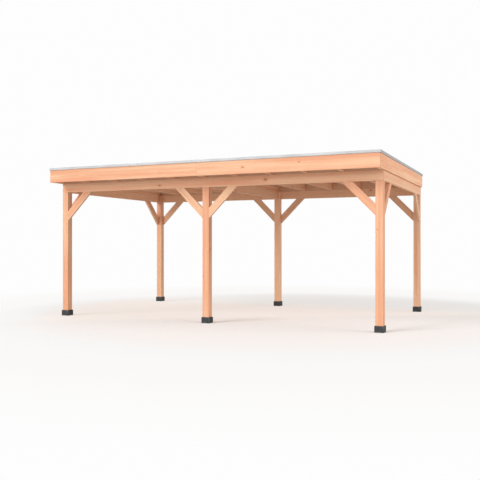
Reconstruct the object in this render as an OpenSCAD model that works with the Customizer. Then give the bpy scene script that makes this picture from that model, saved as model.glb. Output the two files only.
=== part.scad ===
// Patio cover: a flat-roofed open timber frame on six posts.
// Millimetres, +Z up. Origin: middle of the whole cover, on the floor.
// +X runs along the long side, -Y is the front with the deep roof overhang.

/* [Ring of posts and beams] */
// Length over the outer faces of the corner posts
frame_w = 5950; // [4500:10:7000]
// Depth over the outer faces of the corner posts
frame_d = 3460; // [2600:10:4200]
// Height of the ring beams' top above the floor
beam_top = 2440; // [2200:10:2800]
// Thickness of every ring beam and of the cross beam
beam_t = 45; // [38:1:55]
// Height of every ring beam and of the cross beam
beam_h = 160; // [130:5:220]
// Side of the square posts
post_s = 120; // [115:1:140]

/* [Feet under the posts] */
// Side of the square foot block
foot_s = 148; // [146:1:220]
// Height of the foot block
foot_h = 100; // [60:5:160]
// Chamfer round the top of the foot block
foot_chamfer = 5; // [2:1:12]

/* [Knee braces] */
// Length along the beam from the post's face to the far toe of a brace
brace_reach = 520; // [400:10:700]
// Depth of a brace across its length
brace_h = 120; // [90:5:150]
// Thickness of a brace
brace_t = 45; // [38:1:55]

/* [Rafters] */
// How many rafters, the two end ones included
rafter_n = 11; // [9:2:13]
// Thickness of a rafter and of the blocking between rafters
rafter_t = 45; // [35:1:60]
// Height of a rafter
rafter_h = 145; // [120:5:170]

/* [Roof edge and covering] */
// How far the front fascia's face stands in front of the front beam
front_overhang = 320; // [150:10:500]
// Thickness of the roof boarding
deck_t = 18; // [15:1:28]
// Thickness of the rubber roof skin
skin_t = 3; // [2:1:5]
// Thickness of the fascia boards
fascia_t = 25; // [18:1:35]
// Height of the fascia boards
fascia_h = 257; // [240:1:300]
// Width of the kerb batten inside the fascia
kerb_w = 45; // [35:1:60]
// How far the metal trim stands out from the fascia
trim_out = 10; // [6:1:16]
// Height of the trim's outer flange
trim_h = 42; // [30:1:60]
// Thickness of the trim's top flange
trim_top_t = 3; // [2:1:5]

/* [Hidden] */
// Half length and half depth of the whole cover over its metal trim
half_w = frame_w / 2 + fascia_t + trim_out;
half_d = (trim_out + front_overhang + frame_d + fascia_t + trim_out) / 2;
// Outer faces of the ring
ring_left = -frame_w / 2;
ring_right = frame_w / 2;
ring_front = -half_d + trim_out + front_overhang;
ring_back = ring_front + frame_d;
// Inner faces of the fascia boards
roof_left = ring_left;
roof_right = ring_right;
roof_front = ring_front - front_overhang + fascia_t;
roof_back = ring_back;
// Levels
beam_bottom = beam_top - beam_h;
rafter_top = beam_top + rafter_h;
deck_top = rafter_top + deck_t;
fascia_top = beam_top + fascia_h;
kerb_top = fascia_top - skin_t;
trim_top = fascia_top + trim_top_t;
// Pitch of the rafters, centre to centre
rafter_pitch = (frame_w - rafter_t) / (rafter_n - 1);
// Length along the beam from the post's face to the near toe of a brace
brace_near = brace_reach - brace_h * sqrt(2);
// Overlap that keeps a cutting tool clear of the face it cuts through
cut = 1;

// A box given by its lowest corner and its far corner.
module block(a, b) {
  translate(a) cube(b - a);
}

// A foot block: square, with the top edge chamfered on all four sides.
module foot_block(x, y) {
  r = foot_s / 2;
  c = foot_chamfer;
  translate([x, y, 0])
    intersection() {
      block([-r, -r, 0], [r, r, foot_h]);
      rotate([90, 0, 0])
        linear_extrude(foot_s, center = true)
          polygon([[-r, 0], [r, 0], [r, foot_h - c], [r - c, foot_h], [c - r, foot_h], [-r, foot_h - c]]);
      rotate([90, 0, 90])
        linear_extrude(foot_s, center = true)
          polygon([[-r, 0], [r, 0], [r, foot_h - c], [r - c, foot_h], [c - r, foot_h], [-r, foot_h - c]]);
    }
}

// A square post with a housing cut into its front or back outer face for a ring beam.
// side is -1 at the front and 1 at the back; end is -1, 0 or 1 for left, middle and right.
// A corner post has a second housing in its left or right outer face for the side beam.
module post_body(x, y, side, end) {
  r = post_s / 2;
  y_in = r - beam_t;
  difference() {
    block([x - r, y - r, foot_h], [x + r, y + r, beam_top]);
    translate([x, y + side * (r + y_in + cut) / 2, beam_bottom])
      translate([-r - cut, -(beam_t + cut) / 2, 0])
        cube([post_s + 2 * cut, beam_t + cut, beam_h + cut]);
    if (end != 0)
      translate([x + end * (r + y_in + cut) / 2, y, beam_bottom])
        translate([-(beam_t + cut) / 2, -r - cut, 0])
          cube([beam_t + cut, post_s + 2 * cut, beam_h + cut]);
  }
}

// Centres of the posts
post_x_left = ring_left + post_s / 2;
post_x_right = ring_right - post_s / 2;
post_y_front = ring_front + post_s / 2;
post_y_back = ring_back - post_s / 2;

// A brace in the plane of a front or back beam.
// x is the post's face, dir the way it reaches, y_near its lower y face.
module brace_long(x, dir, y_near) {
  translate([x, y_near + brace_t, beam_bottom])
    rotate([90, 0, 0])
      linear_extrude(brace_t)
        polygon([[dir * brace_near, 0], [dir * brace_reach, 0], [0, -brace_reach], [0, -brace_near]]);
}

// A brace in the plane of a side beam.
// y is the post's face, dir the way it reaches, x_near its lower x face.
module brace_side(y, dir, x_near) {
  translate([x_near, y, beam_bottom])
    rotate([90, 0, 90])
      linear_extrude(brace_t)
        polygon([[dir * brace_near, 0], [dir * brace_reach, 0], [0, -brace_reach], [0, -brace_near]]);
}

module foot_front_left() { color("#4a4a4b") foot_block(post_x_left, post_y_front); }
module foot_front_middle() { color("#4a4a4b") foot_block(0, post_y_front); }
module foot_front_right() { color("#4a4a4b") foot_block(post_x_right, post_y_front); }
module foot_back_left() { color("#4a4a4b") foot_block(post_x_left, post_y_back); }
module foot_back_middle() { color("#4a4a4b") foot_block(0, post_y_back); }
module foot_back_right() { color("#4a4a4b") foot_block(post_x_right, post_y_back); }

module post_front_left() { color("#e8b48e") post_body(post_x_left, post_y_front, -1, -1); }
module post_front_middle() { color("#e8b48e") post_body(0, post_y_front, -1, 0); }
module post_front_right() { color("#e8b48e") post_body(post_x_right, post_y_front, -1, 1); }
module post_back_left() { color("#e8b48e") post_body(post_x_left, post_y_back, 1, -1); }
module post_back_middle() { color("#e8b48e") post_body(0, post_y_back, 1, 0); }
module post_back_right() { color("#e8b48e") post_body(post_x_right, post_y_back, 1, 1); }

// The front and back beams are two lengths each, meeting over the middle post.
module beam_front_left() {
  color("#dba680") block([ring_left, ring_front, beam_bottom], [0, ring_front + beam_t, beam_top]);
}
module beam_front_right() {
  color("#dba680") block([0, ring_front, beam_bottom], [ring_right, ring_front + beam_t, beam_top]);
}
module beam_back_left() {
  color("#dba680") block([ring_left, ring_back - beam_t, beam_bottom], [0, ring_back, beam_top]);
}
module beam_back_right() {
  color("#dba680") block([0, ring_back - beam_t, beam_bottom], [ring_right, ring_back, beam_top]);
}
// The side beams butt between the front and back beams.
module beam_side_left() {
  color("#dba680")
    block([ring_left, ring_front + beam_t, beam_bottom], [ring_left + beam_t, ring_back - beam_t, beam_top]);
}
module beam_side_right() {
  color("#dba680")
    block([ring_right - beam_t, ring_front + beam_t, beam_bottom], [ring_right, ring_back - beam_t, beam_top]);
}
// The cross beam ties the front middle post to the back middle post.
module beam_cross() {
  color("#dba680")
    block([-beam_t / 2, ring_front + post_s, beam_bottom], [beam_t / 2, ring_back - post_s, beam_top]);
}

module brace_front_left() { color("#e8b48e") brace_long(ring_left + post_s, 1, ring_front); }
module brace_front_middle_left() { color("#e8b48e") brace_long(-post_s / 2, -1, ring_front); }
module brace_front_middle_right() { color("#e8b48e") brace_long(post_s / 2, 1, ring_front); }
module brace_front_right() { color("#e8b48e") brace_long(ring_right - post_s, -1, ring_front); }
module brace_back_left() { color("#e8b48e") brace_long(ring_left + post_s, 1, ring_back - brace_t); }
module brace_back_middle_left() { color("#e8b48e") brace_long(-post_s / 2, -1, ring_back - brace_t); }
module brace_back_middle_right() { color("#e8b48e") brace_long(post_s / 2, 1, ring_back - brace_t); }
module brace_back_right() { color("#e8b48e") brace_long(ring_right - post_s, -1, ring_back - brace_t); }
module brace_side_left_front() { color("#e8b48e") brace_side(ring_front + post_s, 1, ring_left); }
module brace_side_left_back() { color("#e8b48e") brace_side(ring_back - post_s, -1, ring_left); }
module brace_side_right_front() {
  color("#e8b48e") brace_side(ring_front + post_s, 1, ring_right - brace_t);
}
module brace_side_right_back() {
  color("#e8b48e") brace_side(ring_back - post_s, -1, ring_right - brace_t);
}

// Rafters run front to back over the ring and reach out to the front fascia.
module rafters() {
  color("#c8936f")
    for (i = [0 : rafter_n - 1])
      translate([ring_left + i * rafter_pitch, roof_front, beam_top])
        cube([rafter_t, roof_back - roof_front, rafter_h]);
}

// One row of blocking pieces between the rafters, standing on a ring beam.
module blocking_row(y) {
  for (i = [0 : rafter_n - 2])
    translate([ring_left + i * rafter_pitch + rafter_t, y, beam_top])
      cube([rafter_pitch - rafter_t, rafter_t, rafter_h]);
}
module blocking() {
  color("#c8936f") {
    blocking_row(ring_front);
    blocking_row(ring_back - rafter_t);
  }
}

// The front and back fascias are two boards each, butted in the middle.
module fascia_front_left() {
  color("#efb68c") block([ring_left - fascia_t, roof_front - fascia_t, beam_top], [0, roof_front, fascia_top]);
}
module fascia_front_right() {
  color("#efb68c") block([0, roof_front - fascia_t, beam_top], [ring_right + fascia_t, roof_front, fascia_top]);
}
module fascia_back_left() {
  color("#efb68c") block([ring_left - fascia_t, roof_back, beam_top], [0, roof_back + fascia_t, fascia_top]);
}
module fascia_back_right() {
  color("#efb68c") block([0, roof_back, beam_top], [ring_right + fascia_t, roof_back + fascia_t, fascia_top]);
}
module fascia_side_left() {
  color("#efb68c") block([ring_left - fascia_t, roof_front, beam_top], [ring_left, roof_back, fascia_top]);
}
module fascia_side_right() {
  color("#efb68c") block([ring_right, roof_front, beam_top], [ring_right + fascia_t, roof_back, fascia_top]);
}

// The boarding lies on the rafters, inside the fascias.
module roof_deck() {
  color("#c8936f") block([roof_left, roof_front, rafter_top], [roof_right, roof_back, deck_top]);
}

// Battens stand on edge round the boarding and stiffen the fascias.
// The front and back ones run through, the side ones fit between them.
module kerb_long() {
  color("#c8936f")
    for (y = [roof_front, roof_back - kerb_w])
      block([roof_left, y, deck_top], [roof_right, y + kerb_w, kerb_top]);
}
module kerb_short() {
  color("#c8936f")
    for (x = [roof_left, roof_right - kerb_w])
      block([x, roof_front + kerb_w, deck_top], [x + kerb_w, roof_back - kerb_w, kerb_top]);
}

// The rubber skin is one sheet: a tray turned up the kerb and lapped over its top.
module roof_skin() {
  color("#2b2c2e")
    difference() {
      block([roof_left, roof_front, deck_top], [roof_right, roof_back, fascia_top]);
      difference() {
        block([roof_left - cut, roof_front - cut, deck_top - cut], [roof_right + cut, roof_back + cut, kerb_top]);
        block([roof_left + kerb_w, roof_front + kerb_w, deck_top - 2 * cut],
              [roof_right - kerb_w, roof_back - kerb_w, kerb_top + cut]);
      }
      block([roof_left + kerb_w + skin_t, roof_front + kerb_w + skin_t, deck_top + skin_t],
            [roof_right - kerb_w - skin_t, roof_back - kerb_w - skin_t, fascia_top + cut]);
    }
}

// The metal trim caps the fascia and the kerb, with a flange down the fascia's face.
// Its front and back lengths run through, and the side lengths fit between them.
// Width of the top flange, from the trim's outer face to the kerb's inner face
trim_w = trim_out + fascia_t + kerb_w;

// One length of trim: run is its length, out the way its flange faces along Y.
module trim_length(run, out) {
  rotate([90, 0, 90])
    linear_extrude(run, center = true)
      polygon([[0, trim_top], [0, trim_top - trim_h], [-out * trim_out, trim_top - trim_h],
               [-out * trim_out, fascia_top], [-out * trim_w, fascia_top], [-out * trim_w, trim_top]]);
}
module trim_long() {
  color("#d5d5d4") {
    translate([0, -half_d, 0]) trim_length(2 * half_w, -1);
    translate([0, half_d, 0]) trim_length(2 * half_w, 1);
  }
}
module trim_short() {
  color("#d5d5d4") {
    translate([-half_w, 0, 0]) rotate([0, 0, -90]) trim_length(2 * (half_d - trim_w), -1);
    translate([half_w, 0, 0]) rotate([0, 0, -90]) trim_length(2 * (half_d - trim_w), 1);
  }
}

foot_front_left();
foot_front_middle();
foot_front_right();
foot_back_left();
foot_back_middle();
foot_back_right();
post_front_left();
post_front_middle();
post_front_right();
post_back_left();
post_back_middle();
post_back_right();
beam_front_left();
beam_front_right();
beam_back_left();
beam_back_right();
beam_side_left();
beam_side_right();
beam_cross();
brace_front_left();
brace_front_middle_left();
brace_front_middle_right();
brace_front_right();
brace_back_left();
brace_back_middle_left();
brace_back_middle_right();
brace_back_right();
brace_side_left_front();
brace_side_left_back();
brace_side_right_front();
brace_side_right_back();
rafters();
blocking();
fascia_front_left();
fascia_front_right();
fascia_back_left();
fascia_back_right();
fascia_side_left();
fascia_side_right();
kerb_long();
kerb_short();
roof_deck();
roof_skin();
trim_long();
trim_short();
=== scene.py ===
import math
import bmesh
import bpy
from mathutils import Euler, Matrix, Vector, noise


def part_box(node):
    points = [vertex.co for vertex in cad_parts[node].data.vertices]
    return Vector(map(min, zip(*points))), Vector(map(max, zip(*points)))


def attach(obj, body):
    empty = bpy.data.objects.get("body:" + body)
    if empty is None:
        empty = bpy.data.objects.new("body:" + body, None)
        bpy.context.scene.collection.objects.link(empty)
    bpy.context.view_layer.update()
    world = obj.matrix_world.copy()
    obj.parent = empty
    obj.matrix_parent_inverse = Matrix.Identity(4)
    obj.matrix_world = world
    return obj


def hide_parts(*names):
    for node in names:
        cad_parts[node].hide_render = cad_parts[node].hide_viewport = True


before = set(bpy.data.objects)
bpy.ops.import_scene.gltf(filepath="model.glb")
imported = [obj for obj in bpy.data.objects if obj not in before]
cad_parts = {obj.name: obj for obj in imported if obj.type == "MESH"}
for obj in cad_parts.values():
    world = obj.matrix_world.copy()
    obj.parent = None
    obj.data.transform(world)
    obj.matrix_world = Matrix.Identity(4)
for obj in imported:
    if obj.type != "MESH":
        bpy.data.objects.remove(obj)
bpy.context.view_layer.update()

# ---------------------------------------------------------------------------------------------
# Foot blocks
# One cast block of charcoal concrete stands under each post. The cast skin is finely pitted,
# the arrises are rubbed pale and dust clings to the lowest few centimetres.


def feed(tree, socket, value):
    """Joins a socket to another socket, or sets its value."""
    if isinstance(value, bpy.types.NodeSocket):
        tree.links.new(value, socket)
    else:
        socket.default_value = value


def calc(tree, operation, *values, clamp=False):
    """A Math node with its inputs fed in order. Gives its result."""
    made = tree.nodes.new("ShaderNodeMath")
    made.operation = operation
    made.use_clamp = clamp
    for socket, value in zip(made.inputs, values):
        feed(tree, socket, value)
    return made.outputs[0]


def vector_calc(tree, operation, first, second=None, scale=None):
    """A Vector Math node. Gives its vector, or its value for a length."""
    made = tree.nodes.new("ShaderNodeVectorMath")
    made.operation = operation
    feed(tree, made.inputs[0], first)
    if second is not None:
        feed(tree, made.inputs[1], second)
    if scale is not None:
        feed(tree, made.inputs["Scale"], scale)
    return made.outputs["Value" if operation == "LENGTH" else "Vector"]


def speckle(tree, vector, scale, detail=2.0, roughness=0.5):
    """A Noise texture. Gives the node, for its Fac or Color."""
    made = tree.nodes.new("ShaderNodeTexNoise")
    feed(tree, made.inputs["Vector"], vector)
    made.inputs["Scale"].default_value = scale
    made.inputs["Detail"].default_value = detail
    made.inputs["Roughness"].default_value = roughness
    return made


def fade(tree, value, start, end, low=0.0, high=1.0):
    """Runs smoothly from low to high while value goes from start to end."""
    made = tree.nodes.new("ShaderNodeMapRange")
    made.interpolation_type = "SMOOTHSTEP"
    feed(tree, made.inputs["Value"], value)
    feed(tree, made.inputs["From Min"], start)
    feed(tree, made.inputs["From Max"], end)
    feed(tree, made.inputs["To Min"], low)
    feed(tree, made.inputs["To Max"], high)
    return made.outputs["Result"]


def mingle(tree, factor, first, second):
    """Mixes two colours by a factor."""
    made = tree.nodes.new("ShaderNodeMix")
    made.data_type = "RGBA"
    feed(tree, made.inputs[0], factor)
    feed(tree, made.inputs[6], first)
    feed(tree, made.inputs[7], second)
    return made.outputs[2]


def split(tree, vector):
    """The X, Y and Z of a vector."""
    made = tree.nodes.new("ShaderNodeSeparateXYZ")
    feed(tree, made.inputs[0], vector)
    return made.outputs


def join(tree, *parts):
    """A vector from its parts, fed in order."""
    made = tree.nodes.new("ShaderNodeCombineXYZ")
    for socket, part in zip(made.inputs, parts):
        feed(tree, socket, part)
    return made.outputs[0]


def new_group(name, takes, gives, tree_kind="ShaderNodeTree"):
    """An empty node group with named inputs and outputs: (group, its inputs, its outputs)."""
    group = bpy.data.node_groups.new(name, tree_kind)
    for label, kind in takes:
        group.interface.new_socket(label, in_out="INPUT", socket_type="NodeSocket" + kind)
    for label, kind in gives:
        group.interface.new_socket(label, in_out="OUTPUT", socket_type="NodeSocket" + kind)
    return group, group.nodes.new("NodeGroupInput").outputs, group.nodes.new("NodeGroupOutput").inputs


def place_group(tree, group, **values):
    """Puts a group into a tree and feeds its inputs by name, _ standing for a space."""
    made = tree.nodes.new("ShaderNodeGroup")
    made.node_tree = group
    for label, value in values.items():
        feed(tree, made.inputs[label.replace("_", " ")], value)
    return made.outputs


def new_material(name):
    """A material with a Principled shader: (material, tree, shader's inputs)."""
    material = bpy.data.materials.new(name)
    material.use_nodes = True
    tree = material.node_tree
    return material, tree, tree.nodes["Principled BSDF"].inputs


def bumped(tree, shader, height, distance, strength):
    """Feeds the shader's normal from a height."""
    bump = tree.nodes.new("ShaderNodeBump")
    bump.inputs["Strength"].default_value = strength
    bump.inputs["Distance"].default_value = distance
    feed(tree, bump.inputs["Height"], height)
    feed(tree, shader["Normal"], bump.outputs["Normal"])


def pattern_space(tree, centre, turn=(0.0, 0.0, 0.0)):
    """Object coordinates moved to a piece's centre and turned with it."""
    mapping = tree.nodes.new("ShaderNodeMapping")
    mapping.vector_type = "TEXTURE"
    mapping.inputs["Location"].default_value = centre
    mapping.inputs["Rotation"].default_value = turn
    feed(tree, mapping.inputs["Vector"], tree.nodes.new("ShaderNodeTexCoord").outputs["Object"])
    return mapping.outputs["Vector"]


def dress(node, material, bevel):
    """Gives a CAD node its material and eases its edges."""
    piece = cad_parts[node]
    piece.data.materials.clear()
    piece.data.materials.append(material)
    weld = piece.modifiers.new("weld", "WELD")
    weld.merge_threshold = 0.00005
    ease = piece.modifiers.new("eased edges", "BEVEL")
    ease.width = bevel
    ease.segments = 2
    ease.limit_method = "ANGLE"
    ease.angle_limit = math.radians(30.0)
    return piece


# How near a point of a box is to one of its edges: 1 on the edge, 0 at Width from it.
arris, given, made = new_group(
    "arris_wear_and_highlight", [("Vector", "Vector"), ("Half Size", "Vector"), ("Width", "Float")], [("Mask", "Float")])
inside = vector_calc(
    arris, "SUBTRACT", given["Half Size"], vector_calc(arris, "ABSOLUTE", given["Vector"]))
along, across, through = split(arris, inside)
nearest_edge = calc(arris, "MAXIMUM", along, across)
for one, other in ((across, through), (along, through)):
    nearest_edge = calc(arris, "MINIMUM", nearest_edge, calc(arris, "MAXIMUM", one, other))
feed(arris, made["Mask"], fade(arris, nearest_edge, 0.0, given["Width"], 1.0, 0.0))

foot_charcoal = (0.039, 0.041, 0.042, 1.0)
foot_grey = (0.066, 0.069, 0.070, 1.0)
foot_worn = (0.15, 0.15, 0.148, 1.0)
foot_dust = (0.26, 0.245, 0.225, 1.0)
foot_hole = (0.02, 0.02, 0.02, 1.0)
foot_edge_width = 0.012
dust_reach = 0.035
for foot in [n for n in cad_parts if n.startswith("foot_")]:
    low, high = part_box(foot)
    material, tree, shader = new_material("concrete_" + foot)
    local = pattern_space(tree, (low + high) / 2)
    cloud = speckle(tree, local, 18.0, 4.0, 0.6).outputs["Fac"]
    pits = speckle(tree, local, 260.0, 2.0).outputs["Fac"]
    grit = speckle(tree, local, 900.0, 1.0).outputs["Fac"]
    holes = fade(tree, pits, 0.66, 0.72)
    edge = place_group(
        tree, arris, Vector=local, Half_Size=(high - low) / 2, Width=foot_edge_width)["Mask"]
    rubbed = calc(tree, "MULTIPLY", edge, fade(tree, cloud, 0.40, 0.70, 0.15, 0.8))
    height = split(tree, local)[2]
    floor_level = -(high.z - low.z) / 2
    low_down = fade(tree, height, floor_level, floor_level + dust_reach, 0.55, 0.0)
    dusty = calc(tree, "MULTIPLY", low_down, fade(tree, cloud, 0.30, 0.75))
    colour = mingle(tree, fade(tree, cloud, 0.3, 0.7), foot_charcoal, foot_grey)
    colour = mingle(tree, calc(tree, "MULTIPLY", grit, 0.35), colour, foot_grey)
    colour = mingle(tree, rubbed, colour, foot_worn)
    colour = mingle(tree, dusty, colour, foot_dust)
    colour = mingle(tree, calc(tree, "MULTIPLY", holes, 0.6), colour, foot_hole)
    feed(tree, shader["Base Color"], colour)
    feed(tree, shader["Roughness"], fade(tree, cloud, 0.2, 0.8, 0.78, 0.92))
    shader["Specular IOR Level"].default_value = 0.2
    relief = calc(tree, "SUBTRACT", calc(tree, "MULTIPLY", grit, 0.3), holes)
    bumped(tree, shader, relief, 0.0012, 0.7)
    dress(foot, material, 0.003)

# ---------------------------------------------------------------------------------------------
# Posts
# Six square posts of planed, untreated softwood stand on the foot blocks. Their tops are housed
# on the outer faces to take the ring beams. The rings, knots and drying checks run with the log.

timber_pale = (0.845, 0.514, 0.321, 1.0)
timber_amber = (0.785, 0.377, 0.222, 1.0)
timber_late = (0.58, 0.244, 0.119, 1.0)
timber_knot = (0.58, 0.125, 0.055, 1.0)
timber_bark = (0.22, 0.040, 0.018, 1.0)
timber_check = (0.10, 0.035, 0.015, 1.0)
timber_end = (0.42, 0.19, 0.095, 1.0)
# The pale arris colour is a painted edge highlight with some rubbed wear.
timber_rubbed = (0.95, 0.60, 0.40, 1.0)

# The wood itself, cut from a log whose pith runs along X of the pattern space.
wood, given, made = new_group(
    "timber_grain",
    [
        ("Vector", "Vector"), ("Half Size", "Vector"), ("Shift", "Float"), ("Tone", "Float"),
        ("Pith Side", "Float"), ("Pith Depth", "Float"), ("Ring Width", "Float"),
        ("Knots", "Float"), ("Checks", "Float"), ("Rubbed", "Float"),
        ("Branch A", "Vector"), ("Branch A Size", "Float"),
        ("Branch B", "Vector"), ("Branch B Size", "Float"),
        ("Pale", "Color"), ("Amber", "Color"), ("Late", "Color"), ("Knot", "Color"),
    ],
    [("Color", "Color"), ("Roughness", "Float"), ("Height", "Float")])
run, side, depth = split(wood, given["Vector"])
log_point = join(wood, calc(wood, "ADD", run, given["Shift"]), side, depth)


def stretched(tree, vector, along_grain, across_grain):
    """The vector with its own scale along and across the grain."""
    return vector_calc(tree, "MULTIPLY", vector, (along_grain, across_grain, across_grain))


# The fibres wander slowly from side to side.
wander = speckle(wood, stretched(wood, log_point, 0.55, 1.3), 1.0, 2.0).outputs["Color"]
drift = split(wood, vector_calc(wood, "SUBTRACT", wander, (0.5, 0.5, 0.5)))

# Knots: branch stubs of unlike size, scattered through the log.
cell_length, cell_width = 0.47, 0.105
cells = wood.nodes.new("ShaderNodeTexVoronoi")
cells.inputs["Scale"].default_value = 1.0
cell_point = stretched(wood, log_point, 1.0 / cell_length, 1.0 / cell_width)
feed(wood, cells.inputs["Vector"], cell_point)
to_knot = vector_calc(wood, "SUBTRACT", cells.outputs["Position"], cell_point)
to_knot = stretched(wood, to_knot, cell_length, cell_width)
ragged = calc(wood, "MULTIPLY", speckle(wood, log_point, 90.0, 2.0).outputs["Fac"], 0.003)
knot_distance = calc(wood, "ADD", vector_calc(wood, "LENGTH", to_knot), ragged)
chance = wood.nodes.new("ShaderNodeSeparateColor")
feed(wood, chance.inputs[0], cells.outputs["Color"])
knot_size = calc(wood, "MULTIPLY_ADD", calc(wood, "POWER", chance.outputs[0], 5.0), 0.015, 0.003)
knot_size = calc(wood, "MULTIPLY", knot_size, given["Knots"])
knot_reach = calc(wood, "DIVIDE", knot_distance, calc(wood, "ADD", knot_size, 0.00001))
# Two more branches may be given one by one. They were cut at a slant and show as ovals.
for branch in ("Branch A", "Branch B"):
    to_branch = vector_calc(wood, "SUBTRACT", given[branch], given["Vector"])
    to_branch = stretched(wood, to_branch, 0.55, 1.0)
    branch_distance = calc(wood, "ADD", vector_calc(wood, "LENGTH", to_branch), ragged)
    branch_size = given[branch + " Size"]
    branch_reach = calc(wood, "DIVIDE", branch_distance, calc(wood, "ADD", branch_size, 0.00001))
    nearer = calc(wood, "LESS_THAN", branch_reach, knot_reach)
    knot_size = calc(
        wood, "MULTIPLY_ADD", nearer, calc(wood, "SUBTRACT", branch_size, knot_size), knot_size)
    knot_reach = calc(wood, "MINIMUM", knot_reach, branch_reach)
knot_core = fade(wood, knot_reach, 0.80, 1.05, 1.0, 0.0)
knot_rim = calc(
    wood, "MULTIPLY", fade(wood, knot_reach, 0.72, 0.98), fade(wood, knot_reach, 1.0, 1.25, 1.0, 0.0))
knot_halo = fade(wood, knot_reach, 0.9, 3.4, 1.0, 0.0)

# Growth rings round the pith, pushed aside by the knots.
pith_drift = 0.045
bent_side = calc(wood, "MULTIPLY_ADD", drift[0], pith_drift, side)
bent_depth = calc(wood, "MULTIPLY_ADD", drift[1], pith_drift, depth)
from_pith_side = calc(wood, "SUBTRACT", bent_side, given["Pith Side"])
from_pith_depth = calc(wood, "SUBTRACT", bent_depth, given["Pith Depth"])
side_squared = calc(wood, "MULTIPLY", from_pith_side, from_pith_side)
depth_squared = calc(wood, "MULTIPLY", from_pith_depth, from_pith_depth)
radius = calc(wood, "SQRT", calc(wood, "ADD", side_squared, depth_squared))
pushed = calc(wood, "MULTIPLY", knot_halo, calc(wood, "MULTIPLY", knot_size, 0.9))
radius = calc(wood, "ADD", radius, pushed)
uneven = speckle(wood, stretched(wood, log_point, 1.6, 16.0), 1.0, 3.0).outputs["Fac"]
ring_phase = calc(wood, "ADD", calc(wood, "DIVIDE", radius, given["Ring Width"]), uneven)
ring_place = calc(wood, "FRACT", ring_phase)
ring_year = wood.nodes.new("ShaderNodeTexWhiteNoise")
ring_year.noise_dimensions = "1D"
feed(wood, ring_year.inputs["W"], calc(wood, "FLOOR", ring_phase))
late_wood = calc(
    wood, "MULTIPLY", calc(wood, "POWER", ring_place, 3.0), fade(wood, ring_place, 0.93, 1.0, 1.0, 0.0))
year_strength = calc(wood, "MULTIPLY_ADD", ring_year.outputs["Value"], 0.7, 0.4)
late_wood = calc(wood, "MULTIPLY", late_wood, year_strength, clamp=True)

# Colour: broad streaks along the grain, the dark rings, the finest fibres, then the knots.
streaks = speckle(wood, stretched(wood, log_point, 0.30, 21.0), 1.0, 3.0, 0.55).outputs["Fac"]
clouds = speckle(wood, stretched(wood, log_point, 0.7, 7.0), 1.0, 2.0).outputs["Fac"]
fibres = speckle(wood, stretched(wood, log_point, 11.0, 520.0), 1.0, 2.0).outputs["Fac"]
warmth = calc(wood, "MULTIPLY_ADD", streaks, 3.8, calc(wood, "MULTIPLY_ADD", clouds, 2.6, -2.7))
warmth = calc(wood, "ADD", warmth, given["Tone"], clamp=True)
colour = mingle(wood, warmth, given["Pale"], given["Amber"])
colour = mingle(wood, calc(wood, "MULTIPLY", late_wood, 0.62), colour, given["Late"])
brightness = calc(wood, "MULTIPLY_ADD", fibres, 0.20, 0.90)
colour = vector_calc(wood, "SCALE", colour, scale=brightness)
colour = mingle(wood, calc(wood, "MULTIPLY", knot_halo, 0.40), colour, given["Late"])
colour = mingle(wood, calc(wood, "MULTIPLY", knot_core, 0.90), colour, given["Knot"])
colour = mingle(wood, calc(wood, "MULTIPLY", knot_rim, 0.30), colour, timber_bark)

# Drying checks: a split along the grain that opens and closes.
check_wave = speckle(wood, stretched(wood, log_point, 2.2, 0.0), 1.0, 3.0).outputs["Fac"]
waver = calc(wood, "MULTIPLY_ADD", check_wave, 0.010, -0.005)
slant = calc(wood, "MULTIPLY_ADD", from_pith_depth, -0.51, waver)
check_plane = calc(
    wood, "ABSOLUTE", calc(wood, "ADD", calc(wood, "MULTIPLY", from_pith_side, 0.86), slant))
check_width = calc(
    wood, "MULTIPLY", given["Checks"], fade(wood, check_wave, 0.54, 0.72, 0.0, 0.0008))
checks = fade(wood, calc(wood, "SUBTRACT", check_width, check_plane), 0.0, 0.0004)
colour = mingle(wood, calc(wood, "MULTIPLY", checks, 0.85), colour, timber_check)

# The cut ends drink more and look darker. The arrises are paler: a painted edge highlight, with some
# rubbed wear.
end_gap = split(wood, vector_calc(
    wood, "SUBTRACT", given["Half Size"], vector_calc(wood, "ABSOLUTE", given["Vector"])))[0]
cut_end = fade(wood, end_gap, 0.0006, 0.0016, 1.0, 0.0)
colour = mingle(wood, calc(wood, "MULTIPLY", cut_end, 0.45), colour, timber_end)
rubbed = place_group(
    wood, arris, Vector=given["Vector"], Half_Size=given["Half Size"], Width=0.006)["Mask"]
colour = mingle(wood, calc(wood, "MULTIPLY", rubbed, given["Rubbed"]), colour, timber_rubbed)
feed(wood, made["Color"], colour)
gloss = calc(wood, "MULTIPLY_ADD", late_wood, -0.12, calc(wood, "MULTIPLY_ADD", fibres, 0.16, 0.62))
feed(wood, made["Roughness"], calc(wood, "MULTIPLY_ADD", cut_end, 0.15, gloss, clamp=True))
relief = calc(wood, "MULTIPLY_ADD", late_wood, 0.22, calc(wood, "MULTIPLY", fibres, 0.25))
relief = calc(wood, "MULTIPLY_ADD", knot_core, 0.25, relief)
feed(wood, made["Height"], calc(wood, "SUBTRACT", relief, checks))

# Which of a row of pieces a point is on: its own coordinates, number and a chance value.
row, given, made = new_group(
    "board_row", [("Vector", "Vector"), ("Pitch", "Float")],
    [("Vector", "Vector"), ("Number", "Float"), ("Chance", "Float")])
run, side, depth = split(row, given["Vector"])
number = calc(row, "ROUND", calc(row, "DIVIDE", side, given["Pitch"]))
own_side = calc(row, "SUBTRACT", side, calc(row, "MULTIPLY", number, given["Pitch"]))
lot = row.nodes.new("ShaderNodeTexWhiteNoise")
lot.noise_dimensions = "1D"
feed(row, lot.inputs["W"], calc(row, "ADD", number, 0.37))
feed(row, made["Vector"], join(row, run, own_side, depth))
feed(row, made["Number"], number)
feed(row, made["Chance"], lot.outputs["Value"])


def darker(colour, amount):
    """The colour with some of its light taken away, or given where the amount is below zero."""
    return tuple(part * (1.0 - amount) for part in colour[:3]) + (1.0,)


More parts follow.
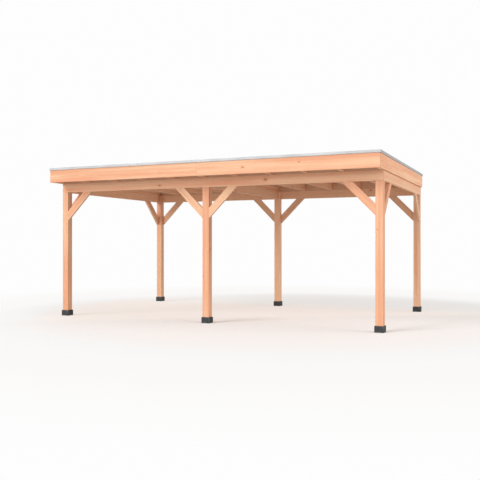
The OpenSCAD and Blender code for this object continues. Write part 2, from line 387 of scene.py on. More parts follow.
def timber(name, centre, half, turn, log, tone=0.0, knots=1.0, checks=0.0, boards=None, branches=(),
           depth_of_colour=0.0, rubbed=0.12):
    """One piece's own wood. half is its half size in pattern space, where X is the grain. log is
    the number of the log it is cut from, which sets where pith, rings and knots fall. tone runs
    from pale to amber. depth_of_colour darkens the wood, painted shade, or lightens it
    below zero, painted light, for the shade or light where the piece stands. knots, checks and
    rubbed say how much shows of knots, drying checks and pale arrises, the last a
    painted edge highlight with some rubbed wear. boards is the pitch where one node holds a row
    of like pieces side by side along Y of pattern space. branches lists up to two knots, each with
    its place on the cover and its radius."""
    material, tree, shader = new_material("timber_" + name)
    local = pattern_space(tree, centre, turn)
    shift = 3.17 * log + 0.71
    if boards is not None:
        parted = place_group(tree, row, Vector=local, Pitch=boards)
        local = parted["Vector"]
        shift = calc(tree, "MULTIPLY_ADD", parted["Number"], 5.3, shift)
        tone = calc(tree, "MULTIPLY_ADD", parted["Chance"], 0.7, tone - 0.35)
    pith_angle = 2.4 * log + 0.8
    pith_reach = 0.055 + 0.05 * ((log * 0.618) % 1.0)
    back_turn = Euler(turn).to_matrix().transposed()
    placed_knots = {}
    for label, (place, size) in zip("AB", branches):
        placed_knots["Branch_" + label] = back_turn @ (Vector(place) - Vector(centre))
        placed_knots["Branch_" + label + "_Size"] = size
    grain = place_group(
        tree, wood, Vector=local, Half_Size=half, Shift=shift, Tone=tone,
        Pith_Side=pith_reach * math.cos(pith_angle), Pith_Depth=pith_reach * math.sin(pith_angle),
        Ring_Width=0.0036 + 0.0012 * ((log * 0.37) % 1.0),
        Knots=knots, Checks=checks, Rubbed=rubbed,
        Pale=darker(timber_pale, depth_of_colour), Amber=darker(timber_amber, depth_of_colour),
        Late=timber_late, Knot=timber_knot, **placed_knots,
    )
    feed(tree, shader["Base Color"], grain["Color"])
    feed(tree, shader["Roughness"], grain["Roughness"])
    shader["Specular IOR Level"].default_value = 0.12
    bumped(tree, shader, grain["Height"], 0.0009, 0.8)
    return material


# Turns that bring X of the pattern space along the grain of an upright or a front-to-back piece.
along_x = (0.0, 0.0, 0.0)
along_y = (0.0, 0.0, math.pi / 2)
along_z = (0.0, -math.pi / 2, 0.0)


def half_size(low, high, turn):
    """Half the size of a box, in the pattern space that turn gives."""
    size = (high - low) / 2
    if turn == along_y:
        return (size.y, size.x, size.z)
    if turn == along_z:
        return (size.z, size.y, size.x)
    return tuple(size)


def dress_timber(node, turn, log, bevel=0.003, **wood_values):
    """A straight CAD timber with its own wood."""
    low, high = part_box(node)
    material = timber(node, (low + high) / 2, half_size(low, high, turn), turn, log, **wood_values)
    dress(node, material, bevel)


# Each post's log, tone, painted light and shade, and drying checks. The back middle and back right posts
# are made paler, painted light for the shade where they stand, and the back left post darker, painted
# shade.
posts = {
    "post_front_left": (5, 0.05, 0.0, 0.7),
    "post_front_middle": (45, 0.08, 0.0, 0.7),
    "post_front_right": (46, 0.30, 0.0, 0.7),
    "post_back_left": (38, -0.12, 0.07, 0.7),
    "post_back_middle": (11, -0.60, -0.10, 0.0),
    "post_back_right": (30, -0.20, -0.04, 0.7),
}
right_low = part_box("post_front_right")[0]
right_branch = ((right_low.x + 0.03, right_low.y, 1.544), 0.0055)
for post, (log, tone, depth, checks) in posts.items():
    dress_timber(
        post, along_z, log, bevel=0.004, tone=tone, knots=0.7, checks=checks, depth_of_colour=depth,
        branches=[right_branch] if post == "post_front_right" else [])

# ---------------------------------------------------------------------------------------------
# Ring beams and cross beam
# Planed planks on edge, let into the posts' outer faces and screwed. Front and back are two
# lengths each, butted over the middle post. The cross beam ties the two middle posts.

front_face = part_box("beam_front_left")[0].y
back_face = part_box("beam_back_right")[0].y
planed = {"bevel": 0.005, "checks": 0.4, "rubbed": 0.05}
# Each beam is made a little paler: painted light, most on the left side beam, whose inner face is seen in
# shade.
dress_timber("beam_front_left", along_x, 11, tone=-0.3, knots=0.6, depth_of_colour=-0.06,
             branches=[((-0.894, front_face, 2.340), 0.0115)], **planed)
dress_timber("beam_front_right", along_x, 12, tone=-0.3, knots=0.6, depth_of_colour=-0.06,
             branches=[((1.079, front_face, 2.363), 0.0145)], **planed)
dress_timber("beam_back_left", along_x, 13, tone=-0.85, knots=0.9, depth_of_colour=-0.07, **planed)
dress_timber("beam_back_right", along_x, 14, tone=-0.85, knots=0.8, depth_of_colour=-0.07,
             branches=[((1.999, back_face, 2.408), 0.012)], **planed)
dress_timber("beam_side_left", along_y, 15, tone=-0.8, knots=0.9, depth_of_colour=-0.12, **planed)
dress_timber("beam_side_right", along_y, 16, tone=-0.2, knots=0.7, depth_of_colour=-0.05, **planed)
dress_timber("beam_cross", along_y, 17, tone=-0.7, knots=0.9, depth_of_colour=-0.05, **planed)

# ---------------------------------------------------------------------------------------------
# Knee braces
# Twelve short planks cut at 45 degrees stiffen the corners between posts and beams. Each sits
# flush with the outer face of its post, butts post and beam, and is screwed at both ends.

brace_depth = 0.12
brace_thick = 0.045
leaning_right, leaning_left = -math.pi / 4, math.pi / 4
brace_turns = {}
for side in ("front_", "back_"):
    brace_turns["brace_" + side + "left"] = (0.0, leaning_right, 0.0)
    brace_turns["brace_" + side + "middle_left"] = (0.0, leaning_left, 0.0)
    brace_turns["brace_" + side + "middle_right"] = (0.0, leaning_right, 0.0)
    brace_turns["brace_" + side + "right"] = (0.0, leaning_left, 0.0)
for side in ("side_left_", "side_right_"):
    brace_turns["brace_" + side + "front"] = (0.0, leaning_right, math.pi / 2)
    brace_turns["brace_" + side + "back"] = (0.0, leaning_left, math.pi / 2)
brace_tones = {
    "brace_front_left": -0.2, "brace_front_middle_left": -0.7, "brace_front_middle_right": -0.6}
for number, (brace, turn) in enumerate(brace_turns.items()):
    low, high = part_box(brace)
    # The plank's lower edge is its box's diagonal, so its middle lies half its depth nearer the
    # corner of post and beam.
    shift = brace_depth / 2 * math.sqrt(0.5)
    centre = (low + high) / 2
    centre[0 if turn[2] == 0.0 else 1] += math.copysign(shift, turn[1])
    centre.z += shift
    # Its ends butt post and beam, so the pattern runs on past them.
    half = (high.z - low.z, brace_thick / 2, brace_depth / 2)
    tone = brace_tones.get(brace, -0.4 if "back" in brace else 0.05)
    dress(brace, timber(brace, centre, half, turn, 21 + number, tone=tone, knots=0.7), 0.003)

# ---------------------------------------------------------------------------------------------
# Rafters and blocking
# Planks on edge run front to back over the ring and out to the front fascia. Short blocks of
# the same plank stand between them over the front and back beams and keep them upright.

rafter_low, rafter_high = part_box("rafters")
rafter_thick = 0.045
rafter_bays = 10
rafter_pitch = (rafter_high.x - rafter_low.x - rafter_thick) / rafter_bays
rafter_half = (
    (rafter_high.y - rafter_low.y) / 2, rafter_thick / 2, (rafter_high.z - rafter_low.z) / 2)
# The rafters are made a little paler: painted light for the shade under the roof.
rafter_wood = timber(
    "rafters", (rafter_low + rafter_high) / 2, rafter_half, along_y, 41, tone=-0.8,
    boards=rafter_pitch, depth_of_colour=-0.05, rubbed=0.06)
dress("rafters", rafter_wood, 0.0025)

block_low, block_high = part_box("blocking")
block_height = 0.145
block_row_pitch = block_high.y - block_low.y - rafter_thick
block_centre = (
    (block_low.x + block_high.x) / 2, block_low.y + rafter_thick / 2, block_low.z + block_height / 2)
# The blocks' ends butt the rafters, so the pattern runs on past the whole row.
block_half = (4.0, rafter_thick / 2, (block_high.z - block_low.z) / 2)
# The blocks are made darker: painted shade for the recess they stand in over the beams.
block_wood = timber(
    "blocking", block_centre, block_half, along_x, 44, tone=-0.9, boards=block_row_pitch,
    depth_of_colour=0.16, rubbed=0.06)
dress("blocking", block_wood, 0.0025)

# ---------------------------------------------------------------------------------------------
# Fascia boards
# Wide planed boards hide the rafter ends. Front and back are two boards each, butted in the
# middle; the side boards fit between them. They carry the roof trim on their top edge.

front_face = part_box("fascia_front_right")[0].y
side_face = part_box("fascia_side_right")[1].x
dress_timber("fascia_front_left", along_x, 9, bevel=0.0015, tone=0.0, knots=0.5, rubbed=0.05)
dress_timber("fascia_front_right", along_x, 8, bevel=0.0015, tone=-0.05, knots=0.5, rubbed=0.05,
             branches=[((0.818, front_face, 2.543), 0.011), ((1.758, front_face, 2.582), 0.007)])
dress_timber("fascia_back_left", along_x, 53, bevel=0.0015, tone=0.0, knots=0.9)
dress_timber("fascia_back_right", along_x, 54, bevel=0.0015, tone=0.1, knots=0.9)
dress_timber("fascia_side_left", along_y, 55, tone=0.05, knots=0.9)
# The right side board is made paler: painted light for the stronger light on that side.
dress_timber("fascia_side_right", along_y, 56, tone=-0.15, knots=0.6, depth_of_colour=-0.14,
             branches=[((side_face, -1.715, 2.485), 0.006), ((side_face, -1.170, 2.496), 0.006)])

# ---------------------------------------------------------------------------------------------
# Roof boarding
# Tongue and groove boards lie across the rafters, face down with a V joint. One board is drawn
# and repeated over the depth of the roof; it stands for the plain sheet of the frame.

deck_low, deck_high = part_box("roof_deck")
board_count = 27
board_pitch = (deck_high.y - deck_low.y) / board_count
board_thick = 0.018


def mesh_piece(name, maker):
    """A new object at the origin whose mesh is what maker(bm) draws."""
    bm = bmesh.new()
    maker(bm)
    bmesh.ops.remove_doubles(bm, verts=bm.verts, dist=0.00001)
    bmesh.ops.recalc_face_normals(bm, faces=bm.faces)
    mesh = bpy.data.meshes.new(name)
    bm.to_mesh(mesh)
    bm.free()
    piece = bpy.data.objects.new(name, mesh)
    bpy.context.scene.collection.objects.link(piece)
    return piece


def draw_solid(bm, sections):
    """A closed solid through its sections, each a list of points."""
    loops = [[bm.verts.new(p) for p in section] for section in sections]
    bm.faces.new(loops[0])
    bm.faces.new(list(reversed(loops[-1])))
    for a, b in zip(loops, loops[1:]):
        for i in range(len(a)):
            j = (i + 1) % len(a)
            bm.faces.new((a[i], b[i], b[j], a[j]))


def draw_board(bm):
    """The frontmost board: a V at each lower edge, and its sides set back above the lip."""
    end_gap = 0.001
    side_gap = 0.0003
    vee = 0.003
    set_back = 0.002
    front, back = deck_low.y + side_gap, deck_low.y + board_pitch - side_gap
    base, top = deck_low.z, deck_high.z
    lip = base + 0.006
    outline = [
        (front + vee, base), (back - vee, base), (back, base + vee), (back, lip),
        (back - set_back, lip), (back - set_back, top), (front + set_back, top),
        (front + set_back, lip), (front, lip), (front, base + vee),
    ]
    board_ends = (deck_low.x + end_gap, deck_high.x - end_gap)
    draw_solid(bm, [[(x, y, z) for y, z in outline] for x in board_ends])


def run_nodes(carrier, tree, values, name):
    """Runs a Geometry Nodes tree on a carrier and keeps the result as a plain mesh."""
    modifier = carrier.modifiers.new(tree.name, "NODES")
    modifier.node_group = tree
    for item in tree.interface.items_tree:
        if item.item_type == "SOCKET" and item.in_out == "INPUT" and item.name in values:
            modifier[item.identifier] = values[item.name]
    graph = bpy.context.evaluated_depsgraph_get()
    mesh = bpy.data.meshes.new_from_object(carrier.evaluated_get(graph))
    piece = bpy.data.objects.new(name, mesh)
    bpy.context.scene.collection.objects.link(piece)
    bpy.data.objects.remove(carrier)
    return piece


def place_node(tree, kind, **values):
    """Puts a node into a tree and feeds its inputs by name, _ standing for a space. Gives its
    first output."""
    made = tree.nodes.new(kind)
    for label, value in values.items():
        feed(tree, made.inputs[label.replace("_", " ")], value)
    return made.outputs[0]


# Boards side by side along Y, from the one board that the carrier holds.
repeat, given, made = new_group(
    "repeat_boards",
    [("Geometry", "Geometry"), ("Count", "Int"), ("Pitch", "Float"), ("Wood", "Material")],
    [("Geometry", "Geometry")], "GeometryNodeTree")
line = place_node(
    repeat, "GeometryNodeMeshLine", Count=given["Count"], Offset=join(repeat, 0.0, given["Pitch"]))
spread = place_node(repeat, "GeometryNodeInstanceOnPoints", Points=line, Instance=given["Geometry"])
real = place_node(repeat, "GeometryNodeRealizeInstances", Geometry=spread)
feed(repeat, made["Geometry"], place_node(
    repeat, "GeometryNodeSetMaterial", Geometry=real, Material=given["Wood"]))

board_centre = (
    (deck_low.x + deck_high.x) / 2, deck_low.y + board_pitch / 2, (deck_low.z + deck_high.z) / 2)
# The fascias hide the boards' ends, so the pattern runs on past them.
board_half = (3.0, board_pitch / 2, board_thick / 2)
# The boards are made a little paler: painted light for the shade under the roof.
board_wood = timber(
    "boarding", board_centre, board_half, along_x, 61, tone=-0.7, knots=1.1, boards=board_pitch,
    depth_of_colour=-0.05, rubbed=0.06)
boarding = run_nodes(
    mesh_piece("one_board", draw_board), repeat,
    {"Count": board_count, "Pitch": board_pitch, "Wood": board_wood}, "roof_boards")
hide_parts("roof_deck")
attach(boarding, "root")

# ---------------------------------------------------------------------------------------------
# Kerb battens
# Rough battens stand round the edge of the boarding, behind the fascias, and hold up the roof's
# edge. The rubber skin and the trim cover them.

dress_timber("kerb_long", along_x, 65, bevel=0.0015)
dress_timber("kerb_short", along_y, 66, bevel=0.0015)

# ---------------------------------------------------------------------------------------------
# Roof skin
# One sheet of black rubber is glued to the boarding, turned up the kerb and lapped over its top
# under the trim. It lies with faint ripples, and rain leaves pale dust where it dries.

skin_low, skin_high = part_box("roof_skin")
sheet_thick = 0.0022
lap_width = 0.0425
upstand_foot = 0.048
line_spacing = 0.075


def grid_lines(low, high):
    """Places of the sheet's grid lines: close at the kerbs, even between."""
    near_kerb = [
        0.0, 0.020, lap_width, 0.0445, 0.0462, 0.0475, upstand_foot, 0.0490, 0.0510, 0.0550, 0.0620,
        0.075]
    start, end = low + 0.11, high - 0.11
    count = max(2, round((end - start) / line_spacing))
    middle = [start + (end - start) * i / count for i in range(count + 1)]
    return [low + d for d in near_kerb] + middle + [high - d for d in reversed(near_kerb)]


def skin_height(x, y):
    """Height of the sheet's upper face: the lap, the upstand's steps, then the rippled flat."""
    lap = skin_high.z - 0.0003
    flat = skin_low.z + 0.003
    inset = min(x - skin_low.x, skin_high.x - x, y - skin_low.y, skin_high.y - y)
    if inset <= lap_width:
        return lap
    if inset < 0.0445:
        return lap - 0.0006
    if inset < 0.0462:
        return lap - 0.0035
    if inset < 0.0478:
        return flat + 0.018 if inset > 0.0470 else lap - 0.010
    rounding = max(0.0, 1.0 - (inset - upstand_foot) / 0.014)
    calm = min(1.0, (inset - upstand_foot) / 0.10)
    broad = noise.noise(Vector((x * 0.8, y * 2.2, 3.1)))
    fine = noise.noise(Vector((x * 3.0, y * 5.0, 7.7)))
    return flat + 0.011 * rounding ** 2 + 0.0016 * calm * (broad + 0.5 * fine + 0.6)


def draw_skin(bm):
    """The sheet's upper face as a grid, close at the kerbs."""
    across = grid_lines(skin_low.x, skin_high.x)
    back = grid_lines(skin_low.y, skin_high.y)
    rows = [[bm.verts.new((x, y, skin_height(x, y))) for x in across] for y in back]
    for j in range(len(back) - 1):
        for i in range(len(across) - 1):
            bm.faces.new((rows[j][i], rows[j][i + 1], rows[j + 1][i + 1], rows[j + 1][i]))


roof_sheet = mesh_piece("roof_sheet", draw_skin)
for polygon in roof_sheet.data.polygons:
    polygon.use_smooth = True
if roof_sheet.data.polygons[len(roof_sheet.data.polygons) // 2].normal.z < 0:
    roof_sheet.data.flip_normals()
thicken = roof_sheet.modifiers.new("sheet", "SOLIDIFY")
thicken.thickness = sheet_thick
thicken.offset = -1.0

rubber_black = (0.018, 0.019, 0.021, 1.0)
rubber_grey = (0.032, 0.033, 0.036, 1.0)
rain_dust = (0.16, 0.15, 0.135, 1.0)
tide_mark = (0.22, 0.21, 0.19, 1.0)
material, tree, shader = new_material("roof_rubber")
local = pattern_space(tree, (skin_low + skin_high) / 2)
stains = speckle(tree, local, 0.8, 2.5, 0.45).outputs["Fac"]
film = speckle(tree, local, 6.0, 4.0).outputs["Fac"]
weave = speckle(tree, local, 1400.0, 1.0).outputs["Fac"]
dust = calc(tree, "MULTIPLY", fade(tree, stains, 0.52, 0.72), fade(tree, film, 0.2, 0.8))
tide = calc(
    tree, "MULTIPLY", fade(tree, stains, 0.535, 0.555), fade(tree, stains, 0.555, 0.59, 1.0, 0.0))
broken_tide = calc(tree, "MULTIPLY", tide, film)
colour = mingle(tree, fade(tree, film, 0.2, 0.8), rubber_black, rubber_grey)
colour = mingle(tree, calc(tree, "MULTIPLY", dust, 0.24), colour, rain_dust)
colour = mingle(tree, calc(tree, "MULTIPLY", broken_tide, 0.16), colour, tide_mark)
feed(tree, shader["Base Color"], colour)
feed(tree, shader["Roughness"], fade(tree, dust, 0.0, 1.0, 0.52, 0.80))
bumped(tree, shader, calc(tree, "MULTIPLY_ADD", weave, 0.15, film), 0.0006, 0.6)
roof_sheet.data.materials.append(material)
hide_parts("roof_skin")
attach(roof_sheet, "root")

# ---------------------------------------------------------------------------------------------
# Roof trim
# Extruded aluminium angle caps fascia and kerb and clamps the rubber. It comes in lengths with
# welded corner pieces; a hairline gap shows between them. Its foot turns in to shed the rain.

trim_low, trim_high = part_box("trim_long")
trim_top, trim_foot = trim_high.z, trim_low.z
trim_width = 0.0800
trim_inside = 0.0100
# The section's corners: inset from the roof's edge, and height.
trim_profile = [
    (0.0022, trim_foot), (0.0006, trim_foot + 0.0010), (0.0, trim_foot + 0.0030),
    (0.0, trim_foot + 0.0065), (0.0008, trim_foot + 0.0073), (0.0008, trim_top - 0.0012),
    (0.0011, trim_top - 0.0004), (0.0019, trim_top), (trim_width - 0.0010, trim_top),
    (trim_width, trim_top - 0.0008), (trim_width, trim_top - 0.0028),
    (trim_inside, trim_top - 0.0029), (trim_inside, trim_foot + 0.0030),
    (0.0034, trim_foot + 0.0024),
]
corner_leg = 0.35
joint_gap = 0.0014


def trim_section(side, distance, mitred=False):
    """The section's points on a side of the roof, at a distance along it. A mitred section runs
    through the corner that the distance leads to."""
    points = []
    for inset, z in trim_profile:
        run = distance - inset if mitred else distance
        points.append((
            (trim_low.x + run, trim_low.y + inset, z), (trim_high.x - inset, trim_low.y + run, z),
            (trim_high.x - run, trim_high.y - inset, z), (trim_low.x + inset, trim_high.y - run, z),
        )[side])
    return points


def draw_trim(bm):
    """Four corner pieces and the straight lengths between them."""
    side_lengths = [trim_high.x - trim_low.x, trim_high.y - trim_low.y] * 2
    for side, length in enumerate(side_lengths):
        straight = length - 2 * corner_leg
        count = 2 if side % 2 == 0 else 1
        for k in range(count):
            start = corner_leg + straight * k / count + joint_gap / 2
            end = corner_leg + straight * (k + 1) / count - joint_gap / 2
            draw_solid(bm, [trim_section(side, start), trim_section(side, end)])
        draw_solid(bm, [
            trim_section(side, length - corner_leg + joint_gap / 2),
            trim_section(side, length, mitred=True),
            trim_section((side + 1) % 4, corner_leg - joint_gap / 2),
        ])


roof_trim = mesh_piece("roof_trim", draw_trim)
aluminium_light = (0.447, 0.447, 0.449, 1.0)
aluminium_dark = (0.413, 0.414, 0.417, 1.0)
aluminium_speck = (0.45, 0.44, 0.42, 1.0)
material, tree, shader = new_material("trim_aluminium")
local = pattern_space(tree, (0.0, 0.0, 0.0))
dull = speckle(tree, local, 3.0, 4.0).outputs["Fac"]
drawn = speckle(tree, vector_calc(tree, "MULTIPLY", local, (3.0, 3.0, 400.0)), 1.0, 2.0).outputs["Fac"]
specks = speckle(tree, local, 420.0, 1.0).outputs["Fac"]
speckled = calc(tree, "MULTIPLY", fade(tree, specks, 0.60, 0.72), 0.12)
colour = mingle(tree, fade(tree, dull, 0.3, 0.7), aluminium_light, aluminium_dark)
colour = mingle(tree, speckled, colour, aluminium_speck)
feed(tree, shader["Base Color"], colour)
shader["Metallic"].default_value = 0.9
streaked = calc(tree, "MULTIPLY_ADD", drawn, 0.04, 0.56)
feed(tree, shader["Roughness"], calc(tree, "MULTIPLY_ADD", dull, 0.12, streaked))
bumped(tree, shader, drawn, 0.00005, 0.05)
roof_trim.data.materials.append(material)
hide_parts("trim_long", "trim_short")
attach(roof_trim, "root")

# ---------------------------------------------------------------------------------------------
# Screws
# Yellow-passivated screws with a flat tapered head hold beams and braces, and smaller ones hold
# the fascias. A head stands a hair proud of the wood, with a dark six-sided patch for its recess:
# painted shade for the hollow, with a little dust.

steel_bright = (0.64, 0.44, 0.27, 1.0)
steel_stained = (0.50, 0.33, 0.19, 1.0)
# The recess colours are painted shade for the socket's hollow, with some dust.
recess_shade = (0.09, 0.065, 0.045, 1.0)
recess_dust_and_shade = (0.16, 0.115, 0.08, 1.0)
screw_steel, tree, shader = new_material("screw_steel")
local = pattern_space(tree, (0.0, 0.0, 0.0))
stain = speckle(tree, local, 240.0, 2.0).outputs["Fac"]
feed(tree, shader["Base Color"], mingle(
    tree, fade(tree, stain, 0.35, 0.7), steel_bright, steel_stained))
feed(tree, shader["Roughness"], fade(tree, stain, 0.3, 0.7, 0.28, 0.45))
shader["Metallic"].default_value = 1.0
bumped(tree, shader, stain, 0.0001, 0.4)
screw_recess_shade, tree, shader = new_material("screw_recess_shade")
local = pattern_space(tree, (0.0, 0.0, 0.0))
feed(tree, shader["Base Color"], mingle(
    tree, speckle(tree, local, 900.0).outputs["Fac"], recess_shade, recess_dust_and_shade))
shader["Roughness"].default_value = 0.7

# A head with a dark six-sided patch, painted shade for its recess, set on every point of the carrier.
head_depth = 0.0016
recess_depth = 0.0006
recess_share = 0.36
screws, given, made = new_group(
    "screw_heads",
    [("Geometry", "Geometry"), ("Head Radius", "Float"), ("Turn", "Float"),
     ("Steel", "Material"), ("Recess", "Material")],
    [("Geometry", "Geometry")], "GeometryNodeTree")
head = place_node(
    screws, "GeometryNodeMeshCone", Vertices=20, Depth=head_depth,
    Radius_Top=calc(screws, "MULTIPLY", given["Head Radius"], 0.80), Radius_Bottom=given["Head Radius"])
head = place_node(screws, "GeometryNodeSetMaterial", Geometry=head, Material=given["Steel"])
recess = place_node(
    screws, "GeometryNodeMeshCylinder", Vertices=6, Depth=recess_depth,
    Radius=calc(screws, "MULTIPLY", given["Head Radius"], recess_share))
recess = place_node(
    screws, "GeometryNodeTransform", Geometry=recess, Translation=(0.0, 0.0, head_depth - 0.0002))
recess = place_node(screws, "GeometryNodeSetMaterial", Geometry=recess, Material=given["Recess"])
whole = screws.nodes.new("GeometryNodeJoinGeometry")
feed(screws, whole.inputs[0], head)
feed(screws, whole.inputs[0], recess)
spread = place_node(
    screws, "GeometryNodeInstanceOnPoints", Points=given["Geometry"], Instance=whole.outputs[0],
    Rotation=join(screws, math.pi / 2, 0.0, given["Turn"]))
feed(screws, made["Geometry"], place_node(screws, "GeometryNodeRealizeInstances", Geometry=spread))

# The turn that faces a head away from each side of the cover.
side_turns = {"front": 0.0, "right": math.pi / 2, "back": math.pi, "left": -math.pi / 2}


def set_screws(name, side, depth, places, radius):
    """Screw heads on a face of the cover, as one plain mesh: depth is the face's own Y at front
    and back, or its X at the sides, and places lists the other two coordinates."""
    if side in ("front", "back"):
        points = [(along, depth, z) for along, z in places]
    else:
        points = [(depth, along, z) for along, z in places]
    carrier = mesh_piece("points_" + name, lambda bm: [bm.verts.new(p) for p in points])
    piece = run_nodes(carrier, screws, {
        "Head Radius": radius, "Turn": side_turns[side], "Steel": screw_steel, "Recess": screw_recess_shade,
    }, name)
    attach(piece, "root")


ring_radius = 0.0065
fascia_radius = 0.0048
post_width = 0.12
edge_margin = 0.035
beam_low, beam_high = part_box("beam_front_left")
ring_left, ring_front = beam_low.x, beam_low.y
ring_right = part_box("beam_front_right")[1].x
ring_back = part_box("beam_back_left")[1].y
screw_levels = [beam_low.z + edge_margin, beam_high.z - edge_margin]
brace_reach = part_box("brace_front_left")[1].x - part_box("brace_front_left")[0].x
brace_middle = brace_reach - brace_depth / 2 * math.sqrt(2.0)


def brace_screws(starts):
    """Two screws at each end of each brace: starts lists the post faces that braces lean from,
    and which way they lean."""
    places = []
    for start, way in starts:
        for shift in (-0.040, 0.040):
            far_end = brace_middle - edge_margin + shift
            places.append((start + way * far_end, beam_low.z - edge_margin))
            places.append((start + way * edge_margin, beam_low.z - far_end))
    return places


long_screws = [
    (post + aside, z) for post in (ring_left + post_width / 2, 0.0, ring_right - post_width / 2)
    for aside in (-0.032, 0.032) for z in screw_levels]
long_screws += brace_screws([
    (ring_left + post_width, 1), (-post_width / 2, -1), (post_width / 2, 1),
    (ring_right - post_width, -1)])
side_screws = [
    (post + aside, z) for post in (ring_front + post_width / 2, ring_back - post_width / 2)
    for aside in (-0.005, 0.040) for z in screw_levels]
side_screws += brace_screws([(ring_front + post_width, 1), (ring_back - post_width, -1)])
set_screws("screws_front", "front", ring_front, long_screws, ring_radius)
set_screws("screws_back", "back", ring_back, long_screws, ring_radius)
set_screws("screws_left", "left", ring_left, side_screws, ring_radius)
set_screws("screws_right", "right", ring_right, side_screws, ring_radius)

# Front and back fascias are screwed at every rafter, and both boards' ends at the middle one.
# The side fascias carry a row of their own.
fascia_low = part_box("fascia_front_left")[0]
side_fascia_low, side_fascia_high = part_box("fascia_side_left")
fascia_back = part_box("fascia_back_left")[1].y
fascia_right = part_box("fascia_side_right")[1].x
fascia_levels = [fascia_low.z + 0.030, fascia_low.z + 0.115]
rafter_screws = []
for i in range(rafter_bays + 1):
    rafter = rafter_low.x + rafter_thick / 2 + i * rafter_pitch
    asides = (-0.013, 0.013) if abs(rafter) < 0.1 else (-math.copysign(0.012, rafter),)
    rafter_screws += [(rafter + aside, z) for aside in asides for z in fascia_levels]
side_count = 7
side_margin = 0.06
side_run = side_fascia_high.y - side_fascia_low.y - 2 * side_margin
side_board_screws = [
    (side_fascia_low.y + side_margin + side_run * i / (side_count - 1), z)
    for i in range(side_count) for z in fascia_levels]
set_screws("fascia_screws_front", "front", fascia_low.y, rafter_screws, fascia_radius)
set_screws("fascia_screws_back", "back", fascia_back, rafter_screws, fascia_radius)
set_screws("fascia_screws_left", "left", side_fascia_low.x, side_board_screws, fascia_radius)
set_screws("fascia_screws_right", "right", fascia_right, side_board_screws, fascia_radius)

# ---------------------------------------------------------------------------------------------
# Floor, light and camera
# A pale floor that keeps the cover's soft shadow, under a white surround. Two far soft lights
# come from the front left, one high and one low, and a third fills in from the right. The camera
# stands at the front right, a little under eye height.

floor_bounce = (0.60, 0.64, 0.67, 1.0)
floor_seen = (0.86, 0.85, 0.845, 1.0)
glow_front = (1.0, 0.89, 0.82, 1.0)
glow_back = (0.89, 0.86, 0.83, 1.0)
glow_round = (0.955, 0.945, 0.93, 1.0)
glow_far = (0.985, 0.985, 0.985, 1.0)
glow_middle = (0.6, 0.7, 0.0)
surround_white = 0.985


def seen_share(tree):
    """1 for what the camera sees, straight or in metal or glass, and 0 for light on its way."""
    path = tree.nodes.new("ShaderNodeLightPath").outputs
    indirect = calc(tree, "MAXIMUM", path["Is Glossy Ray"], path["Is Transmission Ray"])
    return calc(tree, "MAXIMUM", path["Is Camera Ray"], indirect)


bpy.ops.mesh.primitive_plane_add(size=160.0)
floor = bpy.context.object
floor.name = "floor"
material, tree, shader = new_material("floor_pale")
seen = seen_share(tree)
feed(tree, shader["Base Color"], mingle(tree, seen, floor_bounce, floor_seen))
shader["Roughness"].default_value = 0.9
shader["Specular IOR Level"].default_value = 0.0
# The glow grows with the distance from the cover, and is stronger behind it and to the left.
spot = tree.nodes.new("ShaderNodeTexCoord").outputs["Object"]
away = vector_calc(tree, "LENGTH", vector_calc(tree, "SUBTRACT", spot, glow_middle))
x, y = split(tree, spot)[:2]
front_right = calc(tree, "MULTIPLY_ADD", x, 0.6, calc(tree, "MULTIPLY", y, -1.0))
near_share = fade(tree, front_right, 0.4, 1.2, 0.6, 0.25)
rest_share = calc(tree, "SUBTRACT", 1.0, near_share)
far = fade(tree, away, 4.4, 5.9)
white_share = calc(tree, "MULTIPLY", seen, calc(tree, "MULTIPLY_ADD", far, rest_share, near_share))
under_roof = mingle(tree, fade(tree, y, 1.2, 3.0), glow_front, glow_back)
round_roof = mingle(tree, fade(tree, away, 4.0, 5.0), under_roof, glow_round)
glow = place_node(tree, "ShaderNodeEmission", Color=mingle(
    tree, fade(tree, away, 6.0, 9.0), round_roof, glow_far))
blend = tree.nodes.new("ShaderNodeMixShader")
feed(tree, blend.inputs[0], white_share)
feed(tree, blend.inputs[1], tree.nodes["Principled BSDF"].outputs[0])
feed(tree, blend.inputs[2], glow)
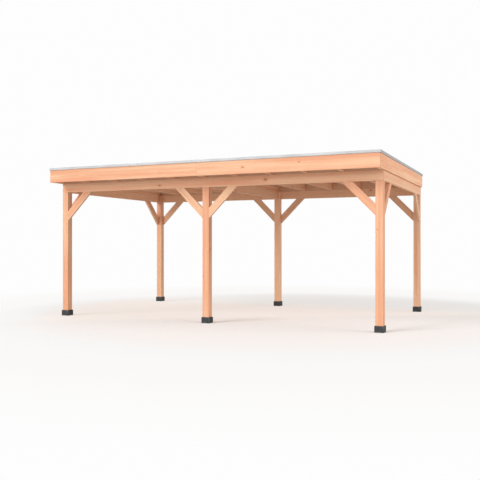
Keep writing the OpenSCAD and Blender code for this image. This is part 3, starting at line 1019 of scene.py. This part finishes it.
# From below the floor is clear, so that the underside shows.
from_below = tree.nodes.new("ShaderNodeMixShader")
feed(tree, from_below.inputs[0], tree.nodes.new("ShaderNodeNewGeometry").outputs["Backfacing"])
feed(tree, from_below.inputs[1], blend.outputs[0])
feed(tree, from_below.inputs[2], tree.nodes.new("ShaderNodeBsdfTransparent").outputs[0])
feed(tree, tree.nodes["Material Output"].inputs["Surface"], from_below.outputs[0])
floor.data.materials.append(material)

surround = bpy.data.worlds.new("surround")
bpy.context.scene.world = surround
surround.use_nodes = True
tree = surround.node_tree
sky = tree.nodes["Background"].inputs
sky["Color"].default_value = (1.0, 1.0, 1.0, 1.0)
sky_strength = 0.565
feed(tree, sky["Strength"], calc(
    tree, "MULTIPLY_ADD", seen_share(tree), surround_white - sky_strength, sky_strength))


def far_lamp(name, heading, height, spread, strength):
    """A far soft light. heading is where its light travels, from the X axis, height is how high
    it stands and spread how broad it looks, all in degrees."""
    lamp = bpy.data.lights.new(name, "SUN")
    lamp.angle = math.radians(spread)
    lamp.energy = strength
    turn, lift = math.radians(heading), math.radians(height)
    travel = Vector((math.cos(turn) * math.cos(lift), math.sin(turn) * math.cos(lift), -math.sin(lift)))
    holder = bpy.data.objects.new(name, lamp)
    bpy.context.scene.collection.objects.link(holder)
    holder.location = travel * -20.0
    holder.rotation_euler = travel.to_track_quat("-Z", "Y").to_euler()


far_lamp("key_high", 57.0, 35.0, 26.0, 1.51)
far_lamp("key_low", 72.0, 10.0, 26.0, 0.92)
far_lamp("side_fill", 180.0, 30.0, 40.0, 1.27)

camera = bpy.data.cameras.new("camera")
camera.lens = 50.0
camera.sensor_width = 36.0
camera.shift_y = 0.00617
camera.clip_end = 300.0
viewer = bpy.data.objects.new("camera", camera)
bpy.context.scene.collection.objects.link(viewer)
viewer.location = (5.091, -11.5365, 1.3442)
viewer.rotation_euler = Euler((math.pi / 2, 0.0, math.radians(24.133)))
bpy.context.scene.camera = viewer
bpy.context.scene.view_settings.view_transform = "Standard"
